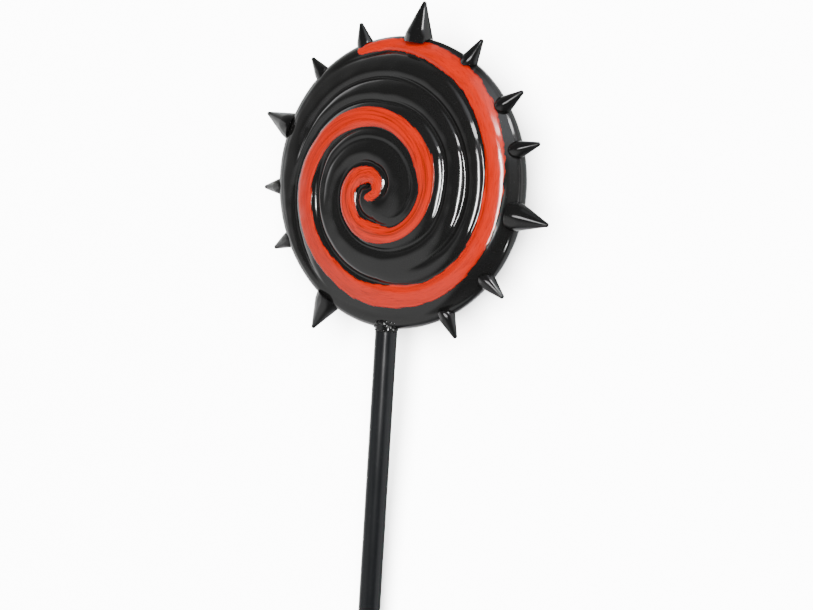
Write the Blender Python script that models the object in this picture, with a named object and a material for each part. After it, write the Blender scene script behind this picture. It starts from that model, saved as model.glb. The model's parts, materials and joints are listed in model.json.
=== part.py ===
"""A black swirl lollipop with a ring of spikes, a rigid plastic costume prop, lying on its back.

Metres, +Z up. The painted face looks up and the stick runs towards -Y.

The head is worked out in its own frame: x to the right, y away from the stick, z out of the
painted face, with the middle of the seam circle at its origin. That frame is then tipped about X
until the stick's end comes down to the surface that the head's back lies on, and it is moved so
that the flat spot under the head is at the origin.
"""
import math

import bmesh
import bpy
from mathutils import Matrix, Vector
from mathutils.geometry import delaunay_2d_cdt

# Driving sizes
HEAD_RADIUS = 0.104
STICK_DIAMETER = 0.016
STICK_REACH = 0.330
NECK_REACH = 0.0052
NECK_DIAMETER = 0.0166
GAP = 0.0003

# The head's two faces: how far the rim rounds over, and the levels of the crests of the swirl
FRONT_RIM_ROUNDING = 0.083 * HEAD_RADIUS
FRONT_APEX = 0.275 * HEAD_RADIUS
FRONT_EDGE_LEVEL = 0.035 * HEAD_RADIUS
FRONT_DOME_POWER = 2.2
FRONT_EDGE_FADE_START = 0.93 * HEAD_RADIUS
BACK_RIM_ROUNDING = 0.240 * HEAD_RADIUS
BACK_APEX = 0.310 * HEAD_RADIUS
BACK_EDGE_LEVEL = 0.175 * HEAD_RADIUS
BACK_DOME_POWER = 2.0
BACK_EDGE_FADE_START = 0.88 * HEAD_RADIUS
EDGE_FADE_STEEPNESS = 14.0 / HEAD_RADIUS
MELT = 0.012 * HEAD_RADIUS

# The swirl: three rope-like ridges that wind in together, clockwise as seen
ARMS = 3
SWIRL_CENTRE_Y = -0.057 * HEAD_RADIUS
SWIRL_START = 0.975 * HEAD_RADIUS
SWIRL_PITCH = 0.506 * HEAD_RADIUS
SWIRL_SLOWING = 0.034 * HEAD_RADIUS
RIDGE_DEPTH = 0.034 * HEAD_RADIUS
RIDGE_FLATNESS = 2.4
RIDGE_SHOULDER = 0.75
KNOT_RADIUS = 0.05 * HEAD_RADIUS
LINES_END_RADIUS = 0.35 * KNOT_RADIUS

# The spikes, counter-clockwise from +x as seen from the painted side
LARGE_SPIKE_ANGLES = (82.6, 158.7, 239.3, 350.4)
SMALL_SPIKE_ANGLES = (15.5, 33.5, 56.9, 108.4, 132.3, 184.3, 207.0, 299.9, 322.8)
LARGE_SPIKE = {"tip": 0.1290, "foot_radius": 0.0092, "sides": 16, "foot_rings": 6}
SMALL_SPIKE = {"tip": 0.1194, "foot_radius": 0.0050, "sides": 12, "foot_rings": 3}
SPIKE_POINT_RADIUS = 0.0011
SPIKE_POINT_BEND = math.radians(48)
SPIKE_LEVEL = 0.0015
SPIKE_FOOT_PLANE = 0.955 * HEAD_RADIUS
NECK_FOOT_PLANE = 0.90 * HEAD_RADIUS
NECK_ANGLE = 270.0

# Small edges of the round pieces
NECK_EDGE_LENGTH = 0.0012
NECK_EDGE_DEPTH = 0.0002
STICK_EDGE = 0.0003
STICK_END_MIDDLE = 0.3

# How the head lies
FLAT_SPOT_RADIUS = 0.016
FLAT_SPOT_BLEND = 0.006
FLAT_SPOT_DEPTH = 0.0004
STICK_END_ROUNDING = 0.0015
STEEPEST_REST = 0.2
REST_SEARCH_STEPS = 60

# Mesh fineness
RIM_STEPS = 80
SIDE_BEND = 35
FRONT_SWIRL_LIMIT = 0.895 * HEAD_RADIUS
BACK_SWIRL_LIMIT = 0.79 * HEAD_RADIUS
LINES_PER_ARM = 6
SWIRL_STEP = 0.10 * HEAD_RADIUS
STICK_SIDES = 24
NECK_FOOT_RINGS = 6
FLAT_SPOT_RINGS = ((0.97, 16), (0.5, 8))
SHARP_ANGLE = math.radians(50)
SMALLEST_STEP = 1e-6

# Where the rim's rings lie round its curve, in degrees from the seam
FRONT_RIM_BENDS = (0, 20, 40, 56, 72, 90)
BACK_RIM_BENDS = (0, 12, 26, 40, 53, 66, 78)

STICK_RADIUS = STICK_DIAMETER / 2
NECK_RADIUS = NECK_DIAMETER / 2
STICK_END_Y = -(HEAD_RADIUS + STICK_REACH)


def smooth_step(value):
    value = min(max(value, 0.0), 1.0)
    return value * value * (3.0 - 2.0 * value)


def smooth_larger(first, second, width):
    """The larger of two heights, with the corner between them melted over a width."""
    share = min(max(0.5 + 0.5 * (first - second) / width, 0.0), 1.0)
    return second + (first - second) * share + width * share * (1.0 - share)


def swirl_radius(turns):
    return SWIRL_START - SWIRL_PITCH * turns + SWIRL_SLOWING * turns * turns


def swirl_turns(radius):
    root = SWIRL_PITCH ** 2 - 4.0 * SWIRL_SLOWING * (SWIRL_START - radius)
    return (SWIRL_PITCH - math.sqrt(max(root, 0.0))) / (2.0 * SWIRL_SLOWING)


def ridge_relief(x, y):
    """Depth below the crest level: none on a crest, the full depth in a groove."""
    across = y - SWIRL_CENTRE_Y
    radius = math.hypot(x, across)
    clockwise = math.atan2(x, across) / math.tau
    phase = ARMS * (swirl_turns(radius) - clockwise)
    off_crest = 2.0 * abs(phase - round(phase))
    crest = (1.0 - off_crest ** RIDGE_FLATNESS) ** RIDGE_SHOULDER
    return RIDGE_DEPTH * (1.0 - crest) * smooth_step(radius / KNOT_RADIUS)


class Face:
    """One side of the head as a height above the seam."""

    def __init__(self, rounding, apex, edge_level, power, fade_start):
        self.rounding = rounding
        self.apex = apex
        self.edge_level = edge_level
        self.power = power
        self.fade_start = fade_start

    def rim_height(self, radius):
        inside = self.rounding ** 2 - (radius - HEAD_RADIUS + self.rounding) ** 2
        return math.sqrt(max(inside, 0.0))

    def crest_level(self, radius):
        rise = (self.apex - self.edge_level) * (1.0 - (radius / HEAD_RADIUS) ** self.power)
        return self.edge_level + rise

    def height(self, x, y):
        radius = math.hypot(x, y)
        past = max(0.0, radius - self.fade_start)
        swirl = self.crest_level(radius) - ridge_relief(x, y) - EDGE_FADE_STEEPNESS * past ** 2
        return smooth_larger(self.rim_height(radius), swirl, MELT)

    def steepest_at(self, slope):
        """The radius where the dome of the crests leans by a given slope."""
        full = self.power * (self.apex - self.edge_level) / HEAD_RADIUS
        return HEAD_RADIUS * (slope / full) ** (1.0 / (self.power - 1.0))


FRONT = Face(FRONT_RIM_ROUNDING, FRONT_APEX, FRONT_EDGE_LEVEL, FRONT_DOME_POWER, FRONT_EDGE_FADE_START)
BACK = Face(BACK_RIM_ROUNDING, BACK_APEX, BACK_EDGE_LEVEL, BACK_DOME_POWER, BACK_EDGE_FADE_START)


def lowest_crest(tilt):
    """Place and height of the head's lowest crest once the head is tipped."""
    reach = BACK.steepest_at(math.tan(tilt))
    level = -BACK.crest_level(reach)
    return reach, level


def rest_tilt():
    """The tilt at which the stick's end and the head's back touch one level surface."""
    low, high = 0.0, STEEPEST_REST
    for _ in range(REST_SEARCH_STEPS):
        tilt = (low + high) / 2
        reach, level = lowest_crest(tilt)
        head = level * math.cos(tilt) - reach * math.sin(tilt) + FLAT_SPOT_DEPTH
        end_y = STICK_END_Y + STICK_END_ROUNDING
        stick = -STICK_RADIUS * math.cos(tilt) + end_y * math.sin(tilt)
        if stick > head:
            low = tilt
        else:
            high = tilt
    return tilt


def head_placement():
    """The transform from the head's own frame to the lying pose, and the flat spot's place in it."""
    tilt = rest_tilt()
    reach, level = lowest_crest(tilt)
    turn = Matrix.Rotation(tilt, 4, "X")
    spot = Vector((0.0, -reach, level))
    touch = turn @ spot
    touch.z += FLAT_SPOT_DEPTH
    return Matrix.Translation(-touch) @ turn, spot


PLACEMENT, FLAT_SPOT = head_placement()


def clear_scene():
    for thing in list(bpy.data.objects):
        bpy.data.objects.remove(thing, do_unlink=True)


def make_material(name, colour, roughness):
    material = bpy.data.materials.new(name)
    material.use_nodes = True
    shader = material.node_tree.nodes["Principled BSDF"]
    shader.inputs["Base Color"].default_value = (*colour, 1.0)
    shader.inputs["Roughness"].default_value = roughness
    shader.inputs["Metallic"].default_value = 0.0
    return material


def add_object(name, mesh_builder, material):
    """Makes one named object from a bmesh that is already in the lying pose."""
    bmesh.ops.recalc_face_normals(mesh_builder, faces=mesh_builder.faces)
    mesh = bpy.data.meshes.new(name)
    mesh_builder.to_mesh(mesh)
    mesh_builder.free()
    mesh.shade_smooth()
    mesh.set_sharp_from_angle(angle=SHARP_ANGLE)
    mesh.materials.append(material)
    thing = bpy.data.objects.new(name, mesh)
    bpy.context.scene.collection.objects.link(thing)
    return thing


def circle_points(radius, steps, centre_y=0.0):
    points = []
    for step in range(steps):
        angle = math.tau * step / steps
        points.append(Vector((radius * math.cos(angle), centre_y + radius * math.sin(angle))))
    return points


def bearing(point):
    """The angle of a point from +x, counter-clockwise, that starts at zero."""
    return (math.atan2(point.y, point.x) + SMALLEST_STEP) % math.tau


def swirl_lines(outer_limit, keep_clear):
    """Points along the crests, flanks and grooves, one list for each unbroken line."""
    lines_per_turn = ARMS * LINES_PER_ARM
    lines = []
    for index in range(lines_per_turn):
        line = []
        turns = 0.0
        while swirl_radius(turns) > LINES_END_RADIUS:
            radius = swirl_radius(turns)
            clockwise = math.tau * (turns - index / lines_per_turn)
            point = Vector((radius * math.sin(clockwise), SWIRL_CENTRE_Y + radius * math.cos(clockwise)))
            if point.length < outer_limit and keep_clear(point):
                line.append(point)
            elif line:
                lines.append(line)
                line = []
            step = SWIRL_STEP * math.sqrt(radius / HEAD_RADIUS)
            turns += step / (math.tau * radius)
        lines.append(line)
    return lines


def triangulate_face(ring_radii, outer_limit, flat_spot):
    """Points and triangles of a round face, with edges held along the swirl's lines."""
    points = []
    edges = []
    for radius in ring_radii:
        points += circle_points(radius, RIM_STEPS)
    points.append(Vector((0.0, SWIRL_CENTRE_Y)))
    clear = 0.0
    spot = Vector((0.0, 0.0))
    if flat_spot is not None:
        spot = flat_spot.xy
        clear = FLAT_SPOT_RADIUS
        for share, steps in FLAT_SPOT_RINGS:
            points += circle_points(share * FLAT_SPOT_RADIUS, steps, spot.y)

    def outside_spot(point):
        return (point - spot).length > clear

    for line in swirl_lines(outer_limit, outside_spot):
        first = len(points)
        points += line
        edges += [(first + step, first + step + 1) for step in range(len(line) - 1)]
    found = delaunay_2d_cdt(points, edges, [], 0, SMALLEST_STEP)
    return found[0], found[2]


def level_flat_spot(place):
    """Levels what lies under the head, so that it rests on a small flat spot."""
    distance = math.hypot(place.x, place.y)
    if distance < FLAT_SPOT_RADIUS + FLAT_SPOT_BLEND:
        place.z *= smooth_step((distance - FLAT_SPOT_RADIUS) / FLAT_SPOT_BLEND)
        place.z = max(place.z, 0.0)
    return place


def build_head_half(name, face, turn, rim_bends, outer_limit, flat_spot, material):
    """A half of the head: the swirled face, the rounded rim and the level seam side."""
    builder = bmesh.new()
    place = PLACEMENT @ turn

    def add_vertex(x, y, z):
        spot = place @ Vector((x, y, z))
        if flat_spot is not None:
            spot = level_flat_spot(spot)
        return builder.verts.new(spot)

    rim_middle = HEAD_RADIUS - face.rounding
    face_radii = []
    side_rings = []
    for degrees in rim_bends:
        bend = math.radians(degrees)
        radius = rim_middle + face.rounding * math.cos(bend)
        if degrees < SIDE_BEND:
            height = max(face.rounding * math.sin(bend), GAP / 2)
            side_rings.append([add_vertex(p.x, p.y, height) for p in circle_points(radius, RIM_STEPS)])
        else:
            face_radii.append(radius)
    points, triangles = triangulate_face(face_radii, outer_limit, flat_spot)
    vertices = [add_vertex(p.x, p.y, face.height(p.x, p.y)) for p in points]
    for triangle in triangles:
        builder.faces.new([vertices[index] for index in triangle])
    edge = [index for index, p in enumerate(points) if p.length > face_radii[0] - SMALLEST_STEP]
    edge.sort(key=lambda index: bearing(points[index]))
    rings = side_rings + [[vertices[index] for index in edge]]
    for lower, upper in zip(rings, rings[1:]):
        for step in range(RIM_STEPS):
            after = (step + 1) % RIM_STEPS
            builder.faces.new((lower[step], lower[after], upper[after], upper[step]))
    builder.faces.new(list(reversed(side_rings[0])))
    return add_object(name, builder, material)


def rim_radius(z):
    """How far out the rim reaches at a height above or below the seam."""
    rounding = FRONT_RIM_ROUNDING if z > 0 else BACK_RIM_ROUNDING
    inside = rounding ** 2 - z * z
    return HEAD_RADIUS - rounding + math.sqrt(max(inside, 0.0))


def seat_distance(across, z, foot_plane):
    """How far from the head's axis a point of a foot sits, just clear of the rim."""
    reach = (rim_radius(z) + GAP) ** 2 - across ** 2
    return max(math.sqrt(max(reach, 0.0)), foot_plane)


def build_rim_piece(name, angle, level, foot_plane, profile, sides, foot_rings, material):
    """A round piece that stands on the rim: its foot fits the rim, then rings follow a profile.

    The profile is a list of (distance from the head's axis, radius), from the foot outwards. Its
    first entry gives the foot's radius alone. A last radius of zero is a point.
    """
    builder = bmesh.new()
    outward = Vector((math.cos(math.radians(angle)), math.sin(math.radians(angle)), 0.0))
    sideways = Vector((-outward.y, outward.x, 0.0))
    middle = Vector((0.0, 0.0, level))

    def add_vertex(distance, across, up):
        spot = middle + outward * distance + sideways * across
        spot.z += up
        return builder.verts.new(PLACEMENT @ spot)

    def ring(radius, distance=None):
        vertices = []
        for step in range(sides):
            bend = math.tau * step / sides
            across, up = radius * math.cos(bend), radius * math.sin(bend)
            reach = seat_distance(across, level + up, foot_plane) if distance is None else distance
            vertices.append(add_vertex(reach, across, up))
        return vertices

    def join(lower, upper):
        for step in range(sides):
            after = (step + 1) % sides
            builder.faces.new((lower[step], lower[after], upper[after], upper[step]))

    foot_radius = profile[0][1]
    foot_centre = add_vertex(seat_distance(0.0, level, foot_plane), 0.0, 0.0)
    rings = [ring(foot_radius * share / foot_rings) for share in range(1, foot_rings + 1)]
    for step in range(sides):
        builder.faces.new((foot_centre, rings[0][(step + 1) % sides], rings[0][step]))
    for distance, radius in profile[1:]:
        if radius > 0:
            rings.append(ring(radius, distance))
    for lower, upper in zip(rings, rings[1:]):
        join(lower, upper)
    last_distance, last_radius = profile[-1]
    if last_radius > 0:
        builder.faces.new(rings[-1])
    else:
        point = add_vertex(last_distance, 0.0, 0.0)
        for step in range(sides):
            builder.faces.new((rings[-1][step], rings[-1][(step + 1) % sides], point))
    return add_object(name, builder, material)


def build_spike(name, angle, size, material):
    """A cone with a small blunt point, standing on the rim."""
    tip = size["tip"]
    ball_middle = tip - SPIKE_POINT_RADIUS
    point_rise = SPIKE_POINT_RADIUS * math.sin(SPIKE_POINT_BEND)
    point_width = SPIKE_POINT_RADIUS * math.cos(SPIKE_POINT_BEND)
    profile = [
        (HEAD_RADIUS, size["foot_radius"]),
        (ball_middle, SPIKE_POINT_RADIUS),
        (ball_middle + point_rise, point_width),
        (tip, 0.0),
    ]
    sides, foot_rings = size["sides"], size["foot_rings"]
    return build_rim_piece(name, angle, SPIKE_LEVEL, SPIKE_FOOT_PLANE, profile, sides, foot_rings, material)


def build_neck(material):
    """The short moulded neck that joins the head to the stick."""
    end = HEAD_RADIUS + NECK_REACH
    profile = [
        (HEAD_RADIUS, NECK_RADIUS),
        (end - NECK_EDGE_LENGTH, NECK_RADIUS),
        (end, STICK_RADIUS - NECK_EDGE_DEPTH),
    ]
    sides, foot_rings = STICK_SIDES, NECK_FOOT_RINGS
    return build_rim_piece("neck", NECK_ANGLE, 0.0, NECK_FOOT_PLANE, profile, sides, foot_rings, material)


def build_stick(material):
    """The plain round stick, from the neck to its rounded end."""
    builder = bmesh.new()
    start_y = -(HEAD_RADIUS + NECK_REACH + GAP)
    bevel = STICK_END_ROUNDING
    bevel_middle = STICK_END_MIDDLE * bevel
    profile = [
        (start_y, STICK_RADIUS - STICK_EDGE),
        (start_y - STICK_EDGE, STICK_RADIUS),
        (STICK_END_Y + bevel, STICK_RADIUS),
        (STICK_END_Y + bevel_middle, STICK_RADIUS - bevel_middle),
        (STICK_END_Y, STICK_RADIUS - bevel),
    ]
    rings = []
    for y, radius in profile:
        ring = []
        for step in range(STICK_SIDES):
            bend = math.tau * (step + 0.5) / STICK_SIDES
            spot = Vector((radius * math.cos(bend), y, radius * math.sin(bend)))
            ring.append(builder.verts.new(PLACEMENT @ spot))
        rings.append(ring)
    for lower, upper in zip(rings, rings[1:]):
        for step in range(STICK_SIDES):
            after = (step + 1) % STICK_SIDES
            builder.faces.new((lower[step], lower[after], upper[after], upper[step]))
    builder.faces.new(list(reversed(rings[0])))
    builder.faces.new(rings[-1])
    return add_object("stick", builder, material)


def main():
    clear_scene()
    shell = make_material("black_gloss_plastic", (0.016, 0.016, 0.015), 0.16)
    spike_plastic = make_material("black_spike_plastic", (0.020, 0.020, 0.020), 0.24)
    stick_plastic = make_material("black_stick_plastic", (0.022, 0.023, 0.025), 0.30)
    upright = Matrix.Identity(4)
    turned_over = Matrix.Rotation(math.pi, 4, "Y")
    build_head_half("head_front", FRONT, upright, FRONT_RIM_BENDS, FRONT_SWIRL_LIMIT, None, shell)
    build_head_half("head_back", BACK, turned_over, BACK_RIM_BENDS, BACK_SWIRL_LIMIT, FLAT_SPOT, shell)
    build_neck(shell)
    build_stick(stick_plastic)
    for number, angle in enumerate(LARGE_SPIKE_ANGLES, 1):
        build_spike("large_spike_%d" % number, angle, LARGE_SPIKE, spike_plastic)
    for number, angle in enumerate(SMALL_SPIKE_ANGLES, 1):
        build_spike("small_spike_%d" % number, angle, SMALL_SPIKE, spike_plastic)


main()
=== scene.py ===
"""Looks of a black swirl lollipop with a ring of spikes, a rigid plastic costume prop on its back.

Metres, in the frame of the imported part. As in the part's source, the head is worked out in its own
frame: x to the right, y away from the stick, z out of the painted face, with the middle of the
seam circle at its origin. PLACEMENT then tips and moves it into the lying pose.
"""

import json
import math

import bmesh
import bpy
import numpy as np
from mathutils import Matrix, Vector

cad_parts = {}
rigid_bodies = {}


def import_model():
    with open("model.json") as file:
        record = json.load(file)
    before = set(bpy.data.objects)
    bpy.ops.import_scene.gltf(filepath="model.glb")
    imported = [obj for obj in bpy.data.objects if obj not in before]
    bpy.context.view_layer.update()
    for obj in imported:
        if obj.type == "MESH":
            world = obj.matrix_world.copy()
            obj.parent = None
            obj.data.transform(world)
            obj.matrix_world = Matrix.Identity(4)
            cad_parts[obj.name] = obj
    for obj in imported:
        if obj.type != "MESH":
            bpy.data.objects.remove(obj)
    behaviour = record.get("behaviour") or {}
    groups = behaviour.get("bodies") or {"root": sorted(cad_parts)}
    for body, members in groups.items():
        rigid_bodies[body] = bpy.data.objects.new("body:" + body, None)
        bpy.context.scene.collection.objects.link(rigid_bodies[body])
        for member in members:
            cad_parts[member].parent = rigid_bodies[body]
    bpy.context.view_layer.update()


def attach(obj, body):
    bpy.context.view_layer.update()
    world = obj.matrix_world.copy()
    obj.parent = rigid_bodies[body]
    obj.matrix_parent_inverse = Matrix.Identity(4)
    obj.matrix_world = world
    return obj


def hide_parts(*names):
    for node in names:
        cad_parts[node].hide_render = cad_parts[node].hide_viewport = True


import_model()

MM = 0.001

# Driving sizes, as in the part's source but for the neck, which glue covers in the photograph
HEAD_RADIUS = 0.104
STICK_DIAMETER = 0.016
STICK_REACH = 0.330
NECK_REACH = 0.0016
NECK_DIAMETER = 0.0166
GAP = 0.0003
STICK_RADIUS = STICK_DIAMETER / 2
NECK_RADIUS = NECK_DIAMETER / 2
STICK_END_Y = -(HEAD_RADIUS + STICK_REACH)
STICK_END_ROUNDING = 0.0015
STICK_EDGE = 0.0003

# The head's two faces. The shoulder is the fuller edge under the paint, the brow the one opposite
FRONT_RIM_ROUNDING = 0.083 * HEAD_RADIUS
FRONT_APEX = 0.2745 * HEAD_RADIUS
FRONT_EDGE_LEVEL = 0.035 * HEAD_RADIUS
FRONT_DOME_POWER = 2.2
FRONT_EDGE_FADE_START = 0.93 * HEAD_RADIUS
BACK_RIM_ROUNDING = 0.240 * HEAD_RADIUS
BACK_APEX = 0.310 * HEAD_RADIUS
BACK_EDGE_LEVEL = 0.175 * HEAD_RADIUS
BACK_DOME_POWER = 2.0
BACK_EDGE_FADE_START = 0.88 * HEAD_RADIUS
EDGE_FADE_STEEPNESS = 14.0 / HEAD_RADIUS
MELT = 0.012 * HEAD_RADIUS
SHOULDER_HEADING = math.radians(78)
SHOULDER_REACH = math.radians(95)
SHOULDER_RISE = 0.040 * HEAD_RADIUS
SHOULDER_FOOT = 0.55
SHOULDER_FOOT_WIDTH = 0.3
SHOULDER_FADE_START = 0.88 * HEAD_RADIUS
SHOULDER_STEEPNESS = 6.2 / HEAD_RADIUS
SHOULDER_ROUNDING = 0.012 * HEAD_RADIUS
EDGE_FADE_BEND = 0.07 * HEAD_RADIUS
BROW_HEADING = math.radians(-95)
BROW_REACH = math.radians(85)
BROW_RISE = 0.015 * HEAD_RADIUS
BROW_FOOT = 0.80
BROW_FOOT_WIDTH = 0.12
HEADING_BLEND = math.radians(45)

# The swirl's ridges. Each groove between them is a curve round the swirl's centre: clockwise
# degrees from the top, radius as a share of the head's, and depth as a share of the full one
SWIRL_CENTRE_Y = -0.057 * HEAD_RADIUS
SWIRL_START = 0.975 * HEAD_RADIUS
SWIRL_PITCH = 0.506 * HEAD_RADIUS
SWIRL_SLOWING = 0.034 * HEAD_RADIUS
RIDGE_DEPTH = 0.042 * HEAD_RADIUS
RIDGE_FLATNESS = 2.2
RIDGE_SHOULDER = 0.75
KNOT_RADIUS = 0.05 * HEAD_RADIUS
RIDGE_HALF_WIDTH = 0.082 * HEAD_RADIUS
GROOVE_MEETING = 5.0
GROOVE_WINDINGS = range(-1, 3)
GROOVE_INSIDE_STROKE = (
    (-40, 0.985, 0.0), (-17, 0.965, 0.8), (0, 0.945, 1.0), (30, 0.893, 1.0), (60, 0.834, 1.1),
    (90, 0.795, 1.2), (120, 0.753, 1.1), (150, 0.690, 1.0), (180, 0.618, 1.0), (210, 0.588, 1.0),
    (240, 0.562, 1.2), (255, 0.545, 1.5), (270, 0.527, 1.4), (300, 0.495, 0.8), (330, 0.452, 0.7),
    (360, 0.412, 0.6), (390, 0.378, 0.5), (420, 0.352, 0.4), (450, 0.342, 0.4), (480, 0.308, 0.5),
    (510, 0.268, 0.8), (540, 0.206, 1.0), (570, 0.190, 1.0), (600, 0.160, 1.0), (630, 0.120, 1.0),
    (660, 0.065, 1.0), (690, 0.030, 0.0),
)
GROOVE_OUTSIDE_STROKE = (
    (210, 0.850, 0.0), (240, 0.828, 1.0), (255, 0.803, 1.0), (270, 0.778, 1.0), (285, 0.738, 1.0),
    (300, 0.704, 1.0), (330, 0.656, 1.0), (360, 0.600, 1.0), (390, 0.590, 1.0), (420, 0.565, 1.0),
    (450, 0.514, 1.0), (480, 0.488, 1.0), (510, 0.434, 1.0), (540, 0.394, 1.0), (570, 0.372, 1.0),
    (600, 0.345, 1.0), (630, 0.302, 1.0), (660, 0.262, 1.0), (690, 0.213, 1.0), (720, 0.166, 1.0),
    (750, 0.140, 1.0), (780, 0.110, 1.0), (810, 0.088, 0.8), (850, 0.072, 0.4), (900, 0.065, 0.0),
)
GROOVE_BETWEEN = (
    (-85, 0.786, 0.0), (-60, 0.798, 1.0), (-30, 0.790, 1.0), (0, 0.766, 1.0), (30, 0.737, 1.0),
    (60, 0.704, 1.15), (90, 0.664, 1.4), (113, 0.636, 1.2), (135, 0.598, 0.5), (160, 0.560, 0.0),
    (245, 0.470, 0.0), (265, 0.445, 0.3), (290, 0.420, 0.4), (320, 0.380, 0.4), (360, 0.335, 0.4),
    (400, 0.305, 0.5), (450, 0.275, 0.7), (480, 0.250, 0.4), (510, 0.220, 0.0),
)

# The spikes, counter-clockwise from +x as seen from the painted side
LARGE_SPIKE_ANGLES = (82.6, 158.7, 239.3, 350.4)
SMALL_SPIKE_ANGLES = (15.5, 33.5, 56.9, 108.4, 132.3, 184.3, 207.0, 299.9, 322.8)
LARGE_SPIKE = {"tip": 0.12888, "foot_radius": 0.0102}
SMALL_SPIKE = {"tip": 0.11928, "foot_radius": 0.0062}
LONG_SMALL_SPIKE = {"tip": 0.12070, "foot_radius": 0.0062}
LONG_SMALL_ANGLES = (15.5, 33.5, 56.9, 299.9, 322.8)
SPIKE_POINT_RADIUS = 0.0017
SPIKE_EDGE = 0.35 * MM
SPIKE_STRAIGHT_START = HEAD_RADIUS + 1.6 * MM
SPIKE_STRAIGHT_RINGS = 6
SPIKE_POINT_BEND = math.radians(88)
SPIKE_LEVEL = 0.0015
SPIKE_FOOT_PLANE = 0.955 * HEAD_RADIUS
NECK_FOOT_PLANE = 0.90 * HEAD_RADIUS

# The neck's softened end: distances back from it with their insets, and its radius
NECK_BEVEL = ((1.2 * MM, 0.0), (0.5 * MM, 0.12 * MM))
NECK_END_RADIUS = STICK_RADIUS - 0.2 * MM

# A ring of a piece on the rim with a place below this is that far off the rim. Any other place is
# a distance from the middle of the head
LONGEST_LIFT = 0.01

# How the head lies
FLAT_SPOT_RADIUS = 0.016
FLAT_SPOT_BLEND = 0.006
FLAT_SPOT_DEPTH = 0.0004
STEEPEST_REST = 0.2
REST_SEARCH_STEPS = 60

# What the fine meshes add to the solids' forms
GROOVE_ROUNDING = 0.013 * HEAD_RADIUS
GROOVE_TAPS = 9
RIPPLE_HEIGHT = 0.10 * MM
RIPPLE_WAVES = 14
RIPPLE_LENGTHS = (10 * MM, 34 * MM)
SEAM_LIP = 0.45 * MM
SEAM_INSET = 0.12 * MM
PAINT_THICKNESS = 0.14 * MM
PAINT_EDGE_SLOPE = 0.9 * MM
PAINT_RIM_FADE = 4 * MM
HOLLOW_CENTRE = (-0.037 * HEAD_RADIUS, -0.021 * HEAD_RADIUS)
HOLLOW_TURN = math.radians(38)
HOLLOW_LENGTH = 0.036 * HEAD_RADIUS
HOLLOW_WIDTH = 0.017 * HEAD_RADIUS
HOLLOW_DEPTH = 0.020 * HEAD_RADIUS

# The painted band: clockwise degrees along the first ridge, then its outer and inner edge as
# shares of the head's radius from the swirl's centre
PAINT_EDGES = (
    (-19.5, 1.000, 0.998), (-18.6, 1.026, 0.972), (-17, 1.034, 0.962), (-9, 1.036, 0.957),
    (0, 1.036, 0.950), (20, 1.028, 0.912), (40, 1.013, 0.896), (60, 0.975, 0.847),
    (90, 0.918, 0.786), (120, 0.875, 0.752), (150, 0.830, 0.692), (168, 0.800, 0.636),
    (195, 0.780, 0.634), (215, 0.756, 0.610), (240, 0.748, 0.602), (270, 0.720, 0.572),
    (300, 0.656, 0.520), (330, 0.606, 0.462), (360, 0.552, 0.424), (390, 0.518, 0.388),
    (420, 0.500, 0.356), (450, 0.454, 0.354), (480, 0.420, 0.318), (510, 0.378, 0.280),
    (530, 0.358, 0.224), (550, 0.349, 0.208), (570, 0.340, 0.216), (600, 0.304, 0.172),
    (630, 0.272, 0.144), (660, 0.236, 0.082), (690, 0.184, 0.048), (720, 0.146, 0.016),
    (740, 0.124, 0.0), (780, 0.086, 0.0), (810, 0.066, 0.0), (870, 0.062, 0.0), (900, 0.070, 0.0),
    (925, 0.078, 0.0), (945, 0.080, 0.0), (957, 0.060, 0.0),
)
PAINT_WINDINGS = range(-1, 4)
PAINT_CENTRE_MARGIN = 0.02 * HEAD_RADIUS
PAINT_PATH_MARGIN = 0.25 * HEAD_RADIUS
PAINT_NOWHERE = -0.05

# The dried glue at the neck. The smear is in millimetres in the head's frame, with the lumps' sizes
GLUE_LUMPS = 20
GLUE_SEED = 21
GLUE_RING = 8.2 * MM
GLUE_HEAVY_SIDE = math.radians(20)
GLUE_VOXEL = 0.4 * MM
GLUE_SMOOTHINGS = 5
GLUE_SMEAR = (
    (-2.0, -98.8, 7.6, 1.3), (1.5, -98.2, 7.6, 1.4), (5.0, -98.4, 7.4, 1.5), (8.5, -98.7, 7.1, 1.4),
    (11.5, -98.9, 6.6, 1.2), (14.0, -99.0, 6.0, 1.0), (10.5, -101.2, 4.5, 1.3),
    (13.5, -101.3, 3.6, 1.0), (16.5, -99.4, 5.2, 0.8),
)

# Mesh fineness
FRONT_SECTORS = 640
BACK_SECTORS = 480
FACE_RING_STEP = 0.50 * MM
EDGE_ZONE = 0.86
EDGE_RINGS = 34
EDGE_BENDS = tuple(math.radians(degrees) for degrees in (12, 16, 20, 25, 30, 35))
SEAM_HEIGHTS = (0.15 * MM, 0.28 * MM, 0.45 * MM, 0.65 * MM, 0.9 * MM, 1.2 * MM)
SPIKE_SIDES = 48
STICK_SIDES = 64
TIP_RINGS = 5
STICK_RINGS = 24
STICK_END_RINGS = 6
STICK_END_SHARE = 1.02
SHARP_EDGE = math.radians(42)

# The camera as seen from the head, in degrees and in head radii
VIEW_YAW = math.radians(34.217)
VIEW_PITCH = math.radians(4.795)
VIEW_ROLL = math.radians(3.584)
VIEW_DISTANCE = 10.048
IMAGE_WIDTH = 813
IMAGE_HEIGHT = 610
HEAD_PIXELS = 145.978
HEAD_PIXEL_X = 395.386
HEAD_PIXEL_Y = 183.217
SENSOR_WIDTH = 36.0

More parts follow.
